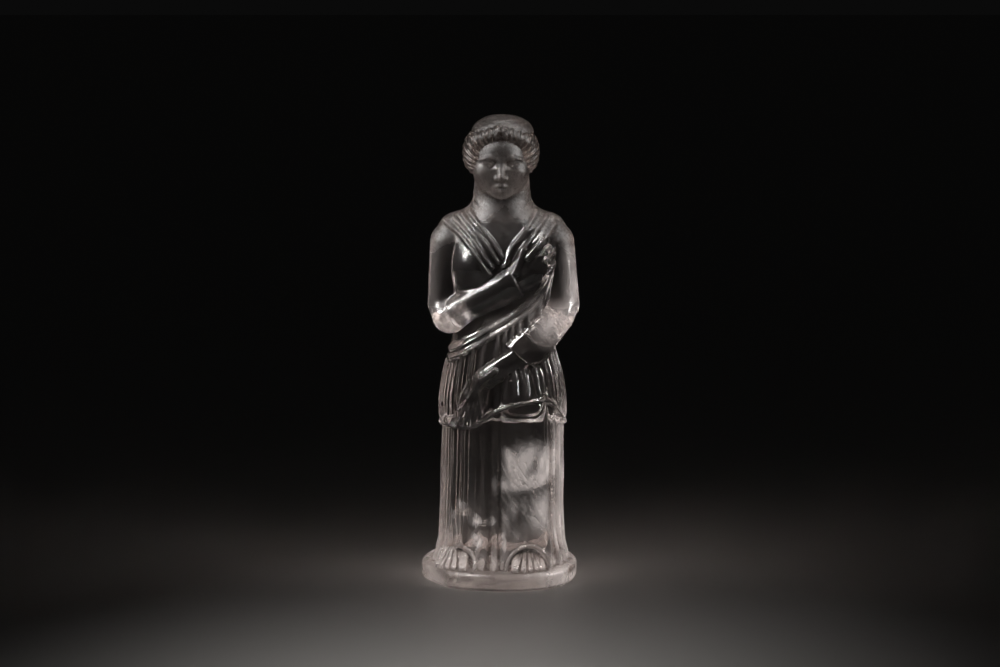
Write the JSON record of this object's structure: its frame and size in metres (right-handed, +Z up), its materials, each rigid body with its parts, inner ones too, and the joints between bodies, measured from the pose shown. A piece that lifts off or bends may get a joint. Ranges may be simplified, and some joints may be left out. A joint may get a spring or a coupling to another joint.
{
  "type": "rock crystal figure",
  "caption": "Small clear rock crystal statuette of a draped standing figure with a low round cap, one hand on the breast, on a low oval plinth.",
  "frame": {"origin": "centre of the oval plinth's underside, on the surface that the figure stands on", "axes": "+Z up along the standing figure, +X to the figure's own left, -Y the way the figure faces"},
  "size_m": [0.0407, 0.0348, 0.1209],
  "materials": {
    "rock_crystal": "clear polished rock crystal, with cloudy veils inside, soft wear on the raised parts and a frosted plinth"
  },
  "bodies": {
    "root": {"crystal_figure": "rock_crystal"}
  },
  "joints": []
}
